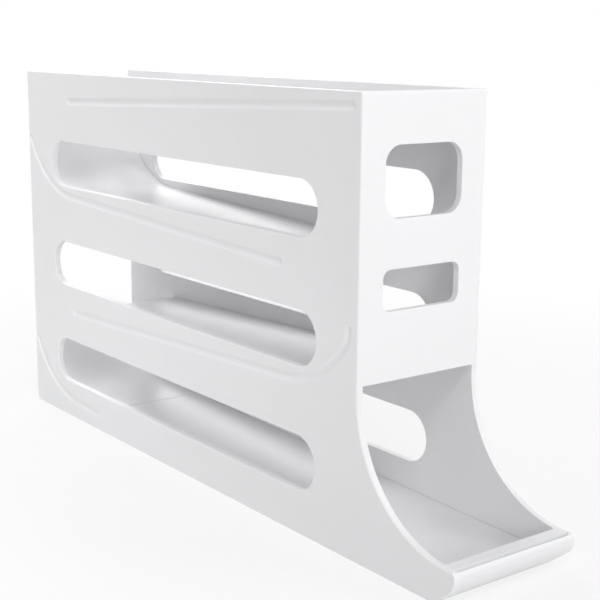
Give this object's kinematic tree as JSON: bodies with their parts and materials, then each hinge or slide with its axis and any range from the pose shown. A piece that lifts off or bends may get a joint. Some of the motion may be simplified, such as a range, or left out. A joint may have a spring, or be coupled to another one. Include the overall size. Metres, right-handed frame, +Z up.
{
  "type": "rolling egg dispenser",
  "caption": "Narrow tall dispenser with sloping zig-zag lanes between windowed side panels, feeding an open pickup tray with a low lip at the front.",
  "frame": {"origin": "centre of the footprint's bounding box, on the surface that the side panels stand on", "axes": "+X along the length, from the back to the pickup lip; +Y across the width; +Z up"},
  "size_m": [0.36, 0.069, 0.1956],
  "materials": {
    "shell": "satin, finely grained moulded surface"
  },
  "bodies": {
    "root": {"left_side_panel": "shell", "right_side_panel": "shell", "front_panel": "shell", "tier_1_deck": "shell", "tier_2_deck": "shell", "tier_3_deck": "shell", "tier_4_ramp": "shell", "pickup_tray": "shell"}
  },
  "joints": []
}
